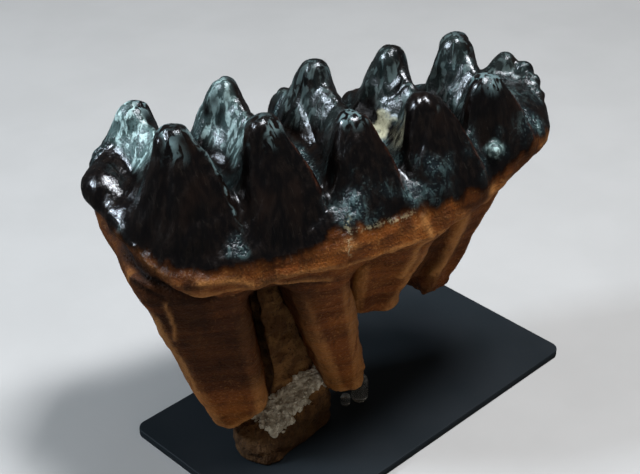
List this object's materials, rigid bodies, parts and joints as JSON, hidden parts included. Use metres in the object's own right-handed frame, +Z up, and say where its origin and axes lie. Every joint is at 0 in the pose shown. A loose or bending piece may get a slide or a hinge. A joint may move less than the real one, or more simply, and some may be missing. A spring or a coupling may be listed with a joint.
{
  "type": "fossil molar on a display stand",
  "caption": "Fossil mastodon molar with paired cusps on cross ridges and long tapering roots, standing on a lump of matrix and clear pegs over a thin black display plate.",
  "frame": {"origin": "centre of the plate's underside", "axes": "+X along the plate's long side towards the heel of the tooth, +Y towards the far side, +Z up"},
  "size_m": [0.199, 0.12, 0.163],
  "materials": {
    "fossil_tooth": "near-black glossy enamel on the crown, brown satin roots",
    "matrix": "rough brown sediment with pale crystalline crumbs",
    "plate_paint": "satin black paint",
    "clear_acrylic": "clear, polished"
  },
  "bodies": {
    "root": {"molar": "fossil_tooth", "matrix_lump": "matrix", "base_plate": "plate_paint", "clear_peg_tall": "clear_acrylic", "clear_peg_short": "clear_acrylic"}
  },
  "joints": []
}
